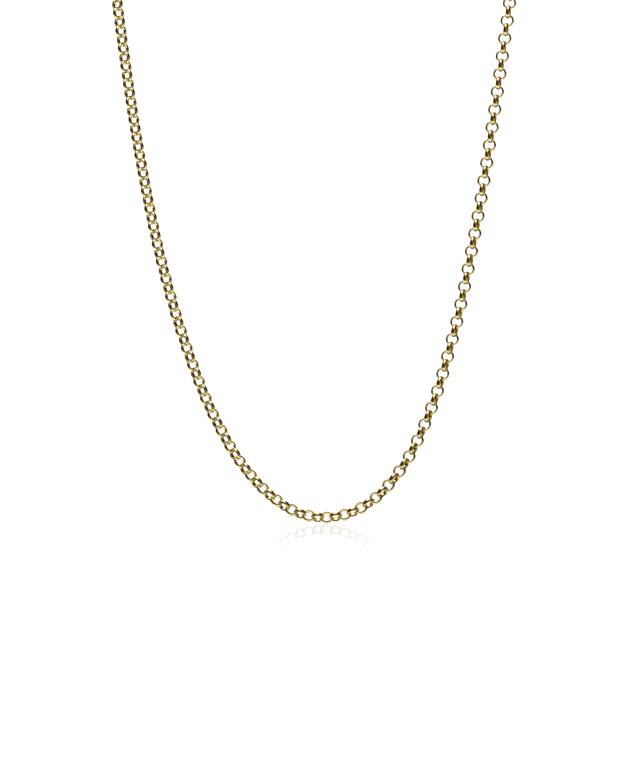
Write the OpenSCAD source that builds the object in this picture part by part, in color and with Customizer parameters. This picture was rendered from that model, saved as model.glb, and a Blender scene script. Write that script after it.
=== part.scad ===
// Belcher chain necklace: round links of domed gold wire, each passing through its two
// neighbours, closed at the nape by a plain ring clasp. It keeps the form that it has when worn:
// the front hangs in an upright plane and the rest goes back round the neck.
// Millimetres. +X is the wearer's left, -Y is the front, +Z is up.
// The origin is the middle of the neck.

/* [Links] */
// Outside diameter of a link
link_d = 3.04; // [3.04:0.02:3.14]
// Thickness of a link's wall, from its bore to its outer face
wall = 0.42; // [0.36:0.01:0.42]
// Width of a link's wall, along the link's own axis
wall_w = 0.98; // [0.7:0.02:1.0]
// Height of the flat that is left at each side of the wall
side_flat = 0.06; // [0.04:0.01:0.14]
// Distance from one link's middle to the next, rounded to fill the loop
link_pitch = 2.02; // [1.98:0.01:2.02]

/* [Clasp] */
// Diameter of the clasp's ring, to the middle of its wire
ring_d = 4.6; // [4.4:0.1:5.2]
// Thickness of the ring's wire
ring_wire = 1.0; // [0.8:0.05:1.1]
// Diameter of the clasp's small loop, to the middle of its wire
loop_d = 2.5; // [2.4:0.05:2.7]
// Thickness of the loop's wire
loop_wire = 0.7; // [0.6:0.05:0.7]

/* [Hidden] */
$fn = 48;
gold = "#d8b45a";
// Radius of the inner face's bulge, as a share of the bore's
crown = 0.8;
// How deep the clasp's ring and loop run into each other, where they are soldered
joint_depth = 0.25;

// The middle of the chain, from the clasp at the nape down one arm, round the lowest point and up
// the other arm. Roll turns the links about the chain, away from lying flat to the front. Slip is
// how far they have slid along it, because their play isn't shared out evenly.
// Columns: across, back, height, roll, slip
stations = [
    [-1.5, 24.75, 12, 26, 0],
    [-22.5, 17.75, 11.8, 30, 0],
    [-36, 5.72, 11, 34, 0],
    [-44, -8.47, 9, 38, 0],
    [-46.8, -24, 5.7, 44, 0],
    [-46.6, -33.2, 1, 46.5, 0],
    [-45.49, -39.1, -8, 48, 0],
    [-43.88, -40, -20, 48, 0],
    [-39.77, -40, -46.49, 49, 0.04],
    [-34.86, -40, -69.99, 43.5, 0.14],
    [-29.13, -40, -89.18, 42, 0.14],
    [-22.75, -40, -104.67, 42, 0.1],
    [-16.37, -40, -115.08, 42, 0.07],
    [-10.03, -40, -121.64, 40.5, -0.03],
    [-4.18, -40, -125.06, 38, -0.08],
    [1.3, -40, -125.97, 37, -0.05],
    [6.78, -40, -125.04, 35.5, -0.01],
    [12.47, -40, -121.86, 33, -0.06],
    [18.59, -40, -115, 26, -0.16],
    [24.21, -40, -104.21, 21.5, -0.29],
    [30.04, -40, -85.89, 18, -0.37],
    [34.97, -40, -62.79, 17, -0.38],
    [39.13, -40, -37.19, 14, -0.45],
    [41.57, -40, -19.99, 10, -0.45],
    [43.21, -39.1, -8, 9, -0.47],
    [44.53, -33.2, 1, 10, -0.37],
    [44.7, -24, 5.7, 11, -0.28],
    [41.67, -8.48, 9, 14, -0.15],
    [33.91, 6.21, 11, 18, -0.07],
    [20.49, 18.24, 11.8, 22, 0],
];
steps = 12;

// Sections of a link
link_r = link_d / 2;
bore_r = link_r - wall;
// The inner face bulges more sharply than the bore curves, so a crossing link comes nearest to it
// at the middle of the wall
inner_crown_r = crown * bore_r;
inner_rise = inner_crown_r - sqrt(pow(inner_crown_r, 2) - pow(wall_w / 2, 2));
outer_rise = wall - inner_rise - side_flat;
outer_crown_r = (pow(wall_w / 2, 2) + pow(outer_rise, 2)) / (2 * outer_rise);

// The clasp's reach to the middle of the first link, through its ring, and of the last, in its loop
play = 0.2;
loop_at = (ring_d + loop_d) / 2 - joint_depth;
ring_reach = (ring_d - ring_wire) / 2 + bore_r - play;
loop_reach = loop_at + (loop_d - loop_wire) / 2 + bore_r - play;

// Vectors
function unit(v) = v / norm(v);
function place_of(p) = [p[0], p[1], p[2]];

// A smooth curve through the closed ring of stations: between two of them it is the cubic that
// has, at each, the slope of the parabola through that station and its neighbours
function station(i) = stations[(i + len(stations)) % len(stations)];
function gap(i) = norm(place_of(station(i + 1)) - place_of(station(i)));
function rise(i) = (station(i + 1) - station(i)) / gap(i);
function slope(i) = (rise(i - 1) * gap(i) + rise(i) * gap(i - 1)) / (gap(i - 1) + gap(i));
function between(i, u) =
    station(i) * (1 - u) * (1 - u) * (1 + 2 * u)
    + station(i + 1) * u * u * (3 - 2 * u)
    + (slope(i) * (1 - u) - slope(i + 1) * u) * gap(i) * u * (1 - u);

curve = [for (i = [0 : len(stations) - 1], j = [0 : steps - 1]) between(i, j / steps), station(0)];
// Length along the curve to each of its points
run = [
    for (i = 0, s = 0; i < len(curve);
        s = s + (i + 1 < len(curve) ? norm(place_of(curve[i + 1]) - place_of(curve[i])) : 0),
        i = i + 1) s
];
loop_len = run[len(run) - 1];
along = [for (c = [0 : 4]) [for (i = [0 : len(curve) - 1]) [run[i], curve[i][c]]]];
function column(c, s) = lookup(s < 0 ? s + loop_len : s > loop_len ? s - loop_len : s, along[c]);
function at(s) = [column(0, s), column(1, s), column(2, s)];

// An odd number of links, so that the first and the last both cross the clasp
chain_len = loop_len - ring_reach - loop_reach;
links = 2 * round((chain_len / link_pitch) / 2) + 1;
pitch = chain_len / (links - 1);
function link_at(i) = let (s = ring_reach + i * pitch) s + column(4, s);
function heading(s) = unit(at(s + pitch) - at(s - pitch));

// The front of the chain, carried along it from link to link without twisting
function squared(v, t) = unit(v - (v * t) * t);
fronts = [
    for (i = 0, f = squared([0, 0, 1], heading(link_at(0))); i < links;
        i = i + 1, f = squared(f, heading(link_at(i)))) f
];
// The axis of link i: the front turned by the roll towards the inside of the loop, and every
// other link a quarter turn on
function axis_of(front, t, roll) = front * cos(roll) + cross(front, t) * sin(roll);
function link_axis(i) = axis_of(fronts[i], heading(link_at(i)),
    column(3, link_at(i)) + (i % 2) * 90);

// Moves a piece from the origin to a place, with its X along the chain and its Z along an axis
module set_at(place, along_x, along_z) {
    side = cross(along_z, along_x);
    multmatrix([
        [along_x[0], side[0], along_z[0], place[0]],
        [along_x[1], side[1], along_z[1], place[1]],
        [along_x[2], side[2], along_z[2], place[2]],
    ])
        children();
}

// Wire bent into a closed ring
module wire_ring(middle_d, wire_d) {
    rotate_extrude() translate([middle_d / 2, 0]) circle(d = wire_d);
}

// A link's wall: slightly domed inside, strongly domed outside, flat at its two sides
module link_section() {
    intersection() {
        translate([bore_r + inner_crown_r, 0]) circle(r = inner_crown_r);
        translate([link_r - outer_crown_r, 0]) circle(r = outer_crown_r);
        square([2 * link_r, wall_w], center = true);
    }
}

module link() {
    rotate_extrude() link_section();
}

// All links, each through the one before and the one after
module chain() {
    color(gold)
        for (i = [0 : links - 1])
            set_at(at(link_at(i)), heading(link_at(i)), link_axis(i)) link();
}

// A ring with a small loop on it, lying across the first and the last link
module clasp() {
    first = at(link_at(0));
    last = at(link_at(links - 1));
    along_x = unit(first - last);
    along_z = unit(cross(link_axis(0) + link_axis(links - 1), along_x));
    color(gold)
        set_at(first - ring_reach * along_x, along_x, along_z) {
            wire_ring(ring_d, ring_wire);
            translate([-loop_at, 0, 0]) wire_ring(loop_d, loop_wire);
        }
}

chain();
clasp();
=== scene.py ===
"""The looks of a belcher chain necklace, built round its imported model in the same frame.

Metres. +X is to the right as seen from the front, -Y is the front and +Z is up. The chain hangs
in its worn form: the drop is in an upright plane at the front, and the rest goes back round the
neck to a plain ring clasp.
"""

from __future__ import annotations

import logging
from dataclasses import dataclass
from enum import Enum
from typing import Any

import bpy
import numpy as np
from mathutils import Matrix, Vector

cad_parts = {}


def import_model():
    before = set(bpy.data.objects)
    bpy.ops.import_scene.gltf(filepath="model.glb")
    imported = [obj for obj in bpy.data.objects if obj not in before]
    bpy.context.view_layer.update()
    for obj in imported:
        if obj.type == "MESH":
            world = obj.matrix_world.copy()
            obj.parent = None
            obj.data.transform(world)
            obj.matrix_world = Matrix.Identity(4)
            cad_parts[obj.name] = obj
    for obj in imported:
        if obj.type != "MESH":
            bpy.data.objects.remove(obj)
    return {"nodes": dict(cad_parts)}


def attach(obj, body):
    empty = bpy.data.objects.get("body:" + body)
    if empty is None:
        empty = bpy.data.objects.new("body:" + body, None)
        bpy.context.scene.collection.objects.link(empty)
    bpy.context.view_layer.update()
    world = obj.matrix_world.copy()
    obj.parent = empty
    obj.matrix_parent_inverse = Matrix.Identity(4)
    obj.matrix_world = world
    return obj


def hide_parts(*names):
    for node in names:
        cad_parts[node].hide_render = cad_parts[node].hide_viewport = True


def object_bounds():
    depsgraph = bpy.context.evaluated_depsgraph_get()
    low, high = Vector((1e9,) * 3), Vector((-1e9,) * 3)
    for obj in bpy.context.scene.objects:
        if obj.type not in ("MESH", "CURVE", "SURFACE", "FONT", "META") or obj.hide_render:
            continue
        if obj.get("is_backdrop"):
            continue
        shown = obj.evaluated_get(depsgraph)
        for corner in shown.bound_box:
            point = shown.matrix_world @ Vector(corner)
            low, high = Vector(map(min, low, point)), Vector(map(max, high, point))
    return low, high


LOG = logging.getLogger("necklace")
MM = 0.001
# A noise texture's values mostly lie between these two
NOISE_LOW, NOISE_HIGH = 0.3, 0.7


def linear(hex_colour: str) -> tuple[float, float, float, float]:
    """Turns an sRGB hex colour into Blender's linear one.

    Args:
        hex_colour: six hex digits, such as "f0d890".

    Returns:
        Linear red, green, blue and an alpha of 1.
    """
    srgb = np.array([int(hex_colour[i : i + 2], 16) / 255 for i in (0, 2, 4)])
    low, high = srgb / 12.92, ((srgb + 0.055) / 1.055) ** 2.4
    red, green, blue = np.where(srgb <= 0.04045, low, high).tolist()
    return red, green, blue, 1.0


def add_node(
    tree: bpy.types.NodeTree, kind: str, inputs: dict[Any, Any] | None = None, **settings: Any
) -> bpy.types.Node:
    """Adds a shader node with its settings and links.

    Args:
        tree: the node tree that gets the node.
        kind: Blender's name for the type of node.
        inputs: for each input, by name or number, a value or the output that it is linked to.
        settings: the node's own properties.

    Returns:
        The new node.
    """
    node = tree.nodes.new(kind)
    for name, value in settings.items():
        setattr(node, name, value)
    for key, value in (inputs or {}).items():
        if isinstance(value, bpy.types.NodeSocket):
            tree.links.new(value, node.inputs[key])
        else:
            node.inputs[key].default_value = value
    return node


class GoldAlloy(Enum):
    """Colour of light that a clean polished surface of each alloy sends back, as sRGB hex."""

    NINE_CARAT_YELLOW = "efdf9b"
    EIGHTEEN_CARAT_YELLOW = "f6d98b"


@dataclass(frozen=True)
class PolishedGold:
    """Solid yellow gold, drawn into domed wire and polished with a mop and rouge.

    To the eye it is a mirror with a warm tint that deepens where links see each other. The mop
    leaves a soft unevenness and hairlines, so its reflections waver a little and are not all
    equally sharp. It stays metallic with the shader's own IOR.
    """

    alloy: GoldAlloy = GoldAlloy.NINE_CARAT_YELLOW
    worn_tint: str = "e4cf86"  # where polishing compound and wear have dulled it a little
    roughness_low: float = 0.04
    roughness_high: float = 0.14
    patch_size: float = 1.3 * MM  # of duller and brighter patches
    patch_detail: float = 3.0  # octaves of finer and finer ones
    patch_fineness: float = 0.55  # how strong each finer octave is beside the last
    ripple_size: float = 0.8 * MM  # of the mop's unevenness
    ripple_depth: float = 0.03 * MM
    # Real hairlines are some 2 micrometres apart. They are drawn coarser, or none would show.
    hairline_size: float = 0.09 * MM
    hairline_depth: float = 0.002 * MM
    hairline_detail: float = 2.0

    def make(self) -> bpy.types.Material:
        """Builds the node material.

        Returns:
            The material, named for what it is and how it was finished.
        """
        material = bpy.data.materials.new("gold_polished")
        material.use_nodes = True
        tree = material.node_tree
        shader = tree.nodes["Principled BSDF"]
        place = add_node(tree, "ShaderNodeTexCoord").outputs["Object"]
        patches = add_node(
            tree,
            "ShaderNodeTexNoise",
            {
                "Vector": place,
                "Scale": 1 / self.patch_size,
                "Detail": self.patch_detail,
                "Roughness": self.patch_fineness,
            },
        )
        tint = add_node(
            tree,
            "ShaderNodeMix",
            {0: patches.outputs["Fac"], 6: linear(self.alloy.value), 7: linear(self.worn_tint)},
            data_type="RGBA",
        )
        dullness = add_node(
            tree,
            "ShaderNodeMapRange",
            {
                "Value": patches.outputs["Fac"],
                "From Min": NOISE_LOW,
                "From Max": NOISE_HIGH,
                "To Min": self.roughness_low,
                "To Max": self.roughness_high,
            },
        )
        ripple = add_node(
            tree, "ShaderNodeTexNoise", {"Vector": place, "Scale": 1 / self.ripple_size}
        )
        hairlines = add_node(
            tree,
            "ShaderNodeTexNoise",
            {
                "Vector": place,
                "Scale": 1 / self.hairline_size,
                "Detail": self.hairline_detail,
            },
        )
        uneven = add_node(
            tree,
            "ShaderNodeBump",
            {"Height": ripple.outputs["Fac"], "Distance": self.ripple_depth},
        )
        surface = add_node(
            tree,
            "ShaderNodeBump",
            {
                "Height": hairlines.outputs["Fac"],
                "Distance": self.hairline_depth,
                "Normal": uneven.outputs["Normal"],
            },
        )
        shader.inputs["Metallic"].default_value = 1.0
        tree.links.new(tint.outputs[2], shader.inputs["Base Color"])
        tree.links.new(dullness.outputs["Result"], shader.inputs["Roughness"])
        tree.links.new(surface.outputs["Normal"], shader.inputs["Normal"])
        return material


@dataclass(frozen=True)
class RingPlaces:
    """Where each ring of a chain is: its middle, and the unit vector along its axis."""

    middles: np.ndarray
    axes: np.ndarray

    @classmethod
    def of_mesh(cls, mesh: bpy.types.Mesh, same_point: float = 0.001 * MM) -> RingPlaces:
        """Finds the separate rings of a mesh of loose triangles.

        Points closer than same_point are one. Each triangle then hands its lowest point number
        round to its corners until nothing changes, which leaves one number for each ring. A
        ring's middle is the mean of its surface, and its axis is the direction in which its
        surface spreads least: the first eigenvector of the sum of area * d * d', where d runs
        from the middle to a triangle.

        Args:
            mesh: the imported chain.
            same_point: the largest distance between corners that are one point.

        Returns:
            The places of all rings.
        """
        points = np.empty(3 * len(mesh.vertices))
        mesh.vertices.foreach_get("co", points)
        points = points.reshape(-1, 3)
        mesh.calc_loop_triangles()
        corners = np.empty(3 * len(mesh.loop_triangles), dtype=np.int32)
        mesh.loop_triangles.foreach_get("vertices", corners)
        corners = corners.reshape(-1, 3)
        _, shared = np.unique(np.round(points / same_point), axis=0, return_inverse=True)
        shared = shared.reshape(-1)[corners]
        label = np.arange(shared.max() + 1)
        while True:
            lowest = label[shared].min(axis=1)
            spread = label.copy()
            np.minimum.at(spread, shared, lowest[:, None])
            if np.array_equal(spread, label):
                break
            label = spread[spread]
        _, ring = np.unique(label[shared[:, 0]], return_inverse=True)
        a, b, c = (points[corners[:, i]] for i in range(3))
        area = np.linalg.norm(np.cross(b - a, c - a), axis=1)
        centre = (a + b + c) / 3
        total = np.bincount(ring, area)
        middles = np.stack([np.bincount(ring, area * centre[:, i]) for i in range(3)], 1)
        middles /= total[:, None]
        off = centre - middles[ring]
        spread_of = np.zeros((len(total), 3, 3))
        np.add.at(spread_of, ring, area[:, None, None] * off[:, :, None] * off[:, None, :])
        return cls(middles, np.linalg.eigh(spread_of)[1][:, :, 0])


@dataclass
class BelcherChain:
    """All links of the chain: closed rings of wire, domed on both faces and flat at the sides."""

    node: str = "chain"
    outside_d: float = 3.04 * MM
    # The model keeps its links a tenth of a millimetre apart. These are a little thicker, so they
    # all but touch, as real ones do.
    wall: float = 0.45 * MM
    width: float = 0.96 * MM
    side_flat: float = 0.08 * MM
    inner_crown: float = 1.1  # radius of the inner face's dome, as a share of the bore's
    around: int = 32  # faces round a link
    inner_faces: int = 3
    outer_faces: int = 5

    def section(self) -> np.ndarray:
        """Works out the outline of the wire.

        The inner face is an arc that rises from the bore: x = bore + r - sqrt(r^2 - z^2). The
        outer face is an arc that falls from the outside: x = outside - R + sqrt(R^2 - z^2),
        with R chosen so that a flat of the given height is left between the two at each side.

        Returns:
            Rows of distance from the link's axis and height along it, once round the wire.
        """
        half = self.width / 2
        bore = self.outside_d / 2 - self.wall
        inner_r = self.inner_crown * bore
        fall = self.wall - (inner_r - np.sqrt(inner_r**2 - half**2)) - self.side_flat
        outer_r = (half**2 + fall**2) / (2 * fall)
        z_in = half * np.linspace(1, -1, self.inner_faces + 1)
        turn = np.arcsin(half / outer_r) * np.linspace(-1, 1, self.outer_faces + 1)
        x_in = bore + inner_r - np.sqrt(inner_r**2 - z_in**2)
        x_out = self.outside_d / 2 - outer_r + outer_r * np.cos(turn)
        inner = np.stack([x_in, z_in], 1)
        outer = np.stack([x_out, outer_r * np.sin(turn)], 1)
        return np.concatenate([inner, outer])

    def build(self, places: RingPlaces, material: bpy.types.Material) -> bpy.types.Object:
        """Carries the section round every ring and joins the rings in one mesh.

        A point of ring k is middle_k + x * (u_k * cos t + v_k * sin t) + z * axis_k, where
        (x, z) is a point of the section, t runs once round, and u_k, v_k and axis_k are square
        to each other.

        Args:
            places: the middle and the axis of each ring.
            material: the finish of the links.

        Returns:
            The finished piece, which stands for the chain's node.
        """
        section = self.section()
        t = np.linspace(0, 2 * np.pi, self.around, endpoint=False)
        axis = places.axes
        helper = np.eye(3)[np.abs(axis).argmin(axis=1)]
        u = np.cross(helper, axis)
        u /= np.linalg.norm(u, axis=1)[:, None]
        v = np.cross(axis, u)
        ray = np.cos(t)[None, :, None] * u[:, None] + np.sin(t)[None, :, None] * v[:, None]
        points = (
            places.middles[:, None, None]
            + section[:, 0][None, None, :, None] * ray[:, :, None]
            + section[:, 1][None, None, :, None] * axis[:, None, None]
        )
        count, around, sides = points.shape[:3]
        number = np.arange(count * around * sides).reshape(count, around, sides)
        ahead = np.roll(number, -1, axis=1)
        faces = np.stack(
            [number, np.roll(number, -1, axis=2), np.roll(ahead, -1, axis=2), ahead], axis=-1
        )
        mesh = bpy.data.meshes.new("chain_links")
        mesh.from_pydata(points.reshape(-1, 3), [], faces.reshape(-1, 4))
        mesh.shade_smooth()
        mesh.materials.append(material)
        links = bpy.data.objects.new("chain_links", mesh)
        bpy.context.collection.objects.link(links)
        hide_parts(self.node)
        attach(links, "root")
        LOG.info("%s: %d links of %d faces", links.name, count, around * sides)
        return links


@dataclass
class RingClasp:
    """The plain ring with its small loop at the nape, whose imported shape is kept."""

    node: str = "clasp"

    def dress(self, clasp: bpy.types.Object, material: bpy.types.Material) -> None:
        """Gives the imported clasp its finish.

        Args:
            clasp: the node's object.
            material: the finish.
        """
        clasp.data.materials.clear()
        clasp.data.materials.append(material)
        LOG.info("%s: packed shape, %d faces", self.node, len(clasp.data.polygons))


@dataclass(frozen=True)
class GlossTable:
    """A white glossy table top just under the lowest link, with a faint reflection in it."""

    gap: float = 0.01 * MM  # between the lowest link and the table
    half_depth: float = 500 * MM
    half_width: float = 600 * MM
    white: str = "ffffff"
    gloss: float = 0.355  # share of the light that it mirrors, where the gloss is full
    gloss_colour: str = "f4f2ff"
    # The gloss grows from nothing at the first of these two depths to full at the second, which
    # is the plane of the drop
    fade_from: float = -225 * MM
    fade_to: float = -40 * MM

    def build(self, lowest: float) -> bpy.types.Object:
        """Lays the table top.

        Args:
            lowest: height of the lowest point of the necklace.

        Returns:
            The table, marked as no part of the object.
        """
        z = lowest - self.gap
        x, y = self.half_width, self.half_depth
        mesh = bpy.data.meshes.new("table_top")
        mesh.from_pydata([(-x, -y, z), (x, -y, z), (x, y, z), (-x, y, z)], [], [(0, 1, 2, 3)])
        mesh.materials.append(self.material())
        table = bpy.data.objects.new("table_top", mesh)
        bpy.context.collection.objects.link(table)
        table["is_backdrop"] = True
        LOG.info("%s: %.2f mm under the lowest link", table.name, self.gap / MM)
        return table

    def material(self) -> bpy.types.Material:
        """Makes moulded and polished white acrylic, whose gloss fades to the front.

        To the eye it is overexposed white with a faint, sharp mirror image in it. To the gold it
        is clear, so that all links mirror the same tent.

        Returns:
            The material.
        """
        material = bpy.data.materials.new("acrylic_white_glossy")
        material.use_nodes = True
        tree = material.node_tree
        tree.nodes.clear()
        white = linear(self.white)
        place = add_node(tree, "ShaderNodeTexCoord").outputs["Object"]
        depth = add_node(tree, "ShaderNodeSeparateXYZ", {0: place}).outputs["Y"]
        share = add_node(
            tree,
            "ShaderNodeMapRange",
            {
                "Value": depth,
                "From Min": self.fade_from,
                "From Max": self.fade_to,
                "To Min": 0.0,
                "To Max": self.gloss,
            },
            interpolation_type="SMOOTHSTEP",
        )
        glow = add_node(tree, "ShaderNodeEmission", {"Color": white})
        gloss = add_node(
            tree,
            "ShaderNodeBsdfGlossy",
            {"Color": linear(self.gloss_colour), "Roughness": 0.0},
        )
        seen = add_node(
            tree,
            "ShaderNodeMixShader",
            {0: share.outputs[0], 1: glow.outputs[0], 2: gloss.outputs[0]},
        )
        clear = add_node(tree, "ShaderNodeBsdfTransparent")
        path = add_node(tree, "ShaderNodeLightPath").outputs["Is Camera Ray"]
        both = add_node(
            tree, "ShaderNodeMixShader", {0: path, 1: clear.outputs[0], 2: seen.outputs[0]}
        )
        add_node(tree, "ShaderNodeOutputMaterial", {"Surface": both.outputs[0]})
        return material


@dataclass(frozen=True)
class Patch:
    """A soft-edged patch of the tent round the necklace. All angles are in degrees.

    The azimuth of its middle is 0 at the front, 90 at the right and 180 at the back. The patch
    is fully bright up to the angle full from its middle, and it has faded out at the angle end.
    """

    name: str
    azimuth: float
    elevation: float
    full: float
    end: float
    brightness: float
    colour: str

    def build(
        self, tree: bpy.types.NodeTree, direction: bpy.types.NodeSocket
    ) -> bpy.types.NodeSocket:
        """Adds the patch's light: a smooth step of the cosine of the angle to its middle.

        Args:
            tree: the world's node tree.
            direction: where the ray goes.

        Returns:
            The patch's shader.
        """
        turn, lift = np.radians(self.azimuth), np.radians(self.elevation)
        middle = (np.sin(turn) * np.cos(lift), -np.cos(turn) * np.cos(lift), np.sin(lift))
        cosine = add_node(
            tree, "ShaderNodeVectorMath", {0: direction, 1: middle}, operation="DOT_PRODUCT"
        )
        step = add_node(
            tree,
            "ShaderNodeMapRange",
            {
                "Value": cosine.outputs["Value"],
                "From Min": np.cos(np.radians(self.end)),
                "From Max": np.cos(np.radians(self.full)),
                "To Min": 0.0,
                "To Max": self.brightness,
            },
            interpolation_type="SMOOTHSTEP",
        )
        light = add_node(
            tree,
            "ShaderNodeBackground",
            {"Color": linear(self.colour), "Strength": step.outputs[0]},
        )
        return light.outputs[0]


@dataclass(frozen=True)
class Studio:
    """A dim warm room, in which a tent of soft patches stands round the necklace.

    Polished gold shows only what it mirrors. The tent's roof and floor give its cream faces, the
    patches at the height of the camera its ochre and brown ones, and the gaps between them the
    near-black ones.
    """

    room: float = 0.01
    room_colour: str = "c07028"
    # Columns: name, azimuth, elevation, full, end, brightness, colour
    patches: tuple[Patch, ...] = (
        Patch("roof", -86, 80, 24, 40, 2.1, "c4c4ff"),
        Patch("roof_front", -7, 57, 18, 39, 1.0, "deddff"),
        Patch("roof_back", -176, 53, 12, 39, 0.53, "f8ffd3"),
        Patch("floor", 0, -86, 16, 50, 1.22, "e4ebff"),
        Patch("floor_left", -111, -42, 18, 39, 1.19, "ecefff"),
        Patch("floor_right", 107, -39, 15, 42, 0.91, "fafcff"),
        Patch("room_front", 9, -2, 20, 58, 0.15, "ffda3c"),
        Patch("room_back", -173, 0, 18, 58, 0.39, "ffecae"),
        Patch("back_left", -136, 18, 8, 25, 0.2, "ffecb7"),
        Patch("right_low", 46, -11, 8, 24, 0.28, "f8f3ff"),
    )

    def build(self) -> None:
        """Makes the room and the tent as the world's light.

        The camera sees plain white instead, and so does the sharp gloss of the table top.
        """
        world = bpy.data.worlds.new("studio")
        bpy.context.scene.world = world
        world.use_nodes = True
        tree = world.node_tree
        tree.nodes.clear()
        direction = add_node(tree, "ShaderNodeTexCoord").outputs["Generated"]
        light = add_node(
            tree,
            "ShaderNodeBackground",
            {"Color": linear(self.room_colour), "Strength": self.room},
        ).outputs[0]
        for patch in self.patches:
            shader = patch.build(tree, direction)
            light = add_node(tree, "ShaderNodeAddShader", {0: light, 1: shader}).outputs[0]
        backdrop = add_node(tree, "ShaderNodeBackground", {"Color": linear("ffffff")})
        path = add_node(tree, "ShaderNodeLightPath").outputs
        seen = add_node(
            tree,
            "ShaderNodeMath",
            {0: path["Is Camera Ray"], 1: path["Is Singular Ray"]},
            operation="MAXIMUM",
        )
        both = add_node(
            tree, "ShaderNodeMixShader", {0: seen.outputs[0], 1: light, 2: backdrop.outputs[0]}
        )
        add_node(tree, "ShaderNodeOutputWorld", {"Surface": both.outputs[0]})
        LOG.info("%s: %d patches of light", world.name, len(self.patches))


@dataclass(frozen=True)
class FrontCamera:
    """A long lens straight in front of the drop, framed as the photo is.

    The photo is 640 pixels wide and 768 high. A link's pitch is 9 pixels in it, so one pixel is
    0.2243 mm in the plane of the drop.
    """

    pixel: float = 2.0186 / 9 * MM
    picture_height: int = 768
    middle_pixel: tuple[float, float] = (319.5, 383.5)
    # The pixels of the photo where the frame's X is 0, and where its top edge's height is
    centre_pixel: float = 318.0
    top_edge: float = -10 * MM
    drop_plane: float = -40 * MM
    distance: float = 600 * MM
    sensor_width: float = 36.0  # millimetres
    nearest: float = 10 * MM
    farthest: float = 20.0

    def aim(self) -> Vector:
        """The point of the drop's plane in the middle of the picture."""
        x = (self.middle_pixel[0] - self.centre_pixel) * self.pixel
        return Vector((x, self.drop_plane, self.top_edge - self.middle_pixel[1] * self.pixel))

    def build(self) -> bpy.types.Object:
        """Places the camera and makes it the scene's own.

        Returns:
            The camera.
        """
        data = bpy.data.cameras.new("front_camera")
        data.sensor_width = self.sensor_width
        data.lens = data.sensor_width * self.distance / (self.picture_height * self.pixel)
        data.clip_start, data.clip_end = self.nearest, self.farthest
        camera = bpy.data.objects.new("front_camera", data)
        back = Vector((0.0, -1.0, 0.0))
        camera.location = self.aim() + back * self.distance
        camera.rotation_euler = (-back).to_track_quat("-Z", "Y").to_euler()
        bpy.context.collection.objects.link(camera)
        bpy.context.scene.camera = camera
        LOG.info("%s: lens of %.1f mm", camera.name, data.lens)
        return camera


def corners(bounds: tuple[Vector, Vector]) -> list[list[float]]:
    """A box's lowest and highest corner as plain lists."""
    return [list(corner) for corner in bounds]


def main() -> None:
    """Builds the necklace, its camera, its table and its light, in that order."""
    logging.basicConfig(level=logging.INFO, format="%(name)s: %(message)s")
    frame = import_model()
    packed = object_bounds()
    gold = PolishedGold().make()
    chain = BelcherChain()
    chain.build(RingPlaces.of_mesh(frame["nodes"][chain.node].data), gold)
    clasp = RingClasp()
    clasp.dress(frame["nodes"][clasp.node], gold)
    FrontCamera().build()
    GlossTable().build(packed[0].z)
    Studio().build()
    bpy.context.scene.view_settings.view_transform = "Standard"
    bpy.context.scene.view_settings.look = "Medium High Contrast"
    bpy.context.view_layer.update()


if __name__ == "__main__":
    main()
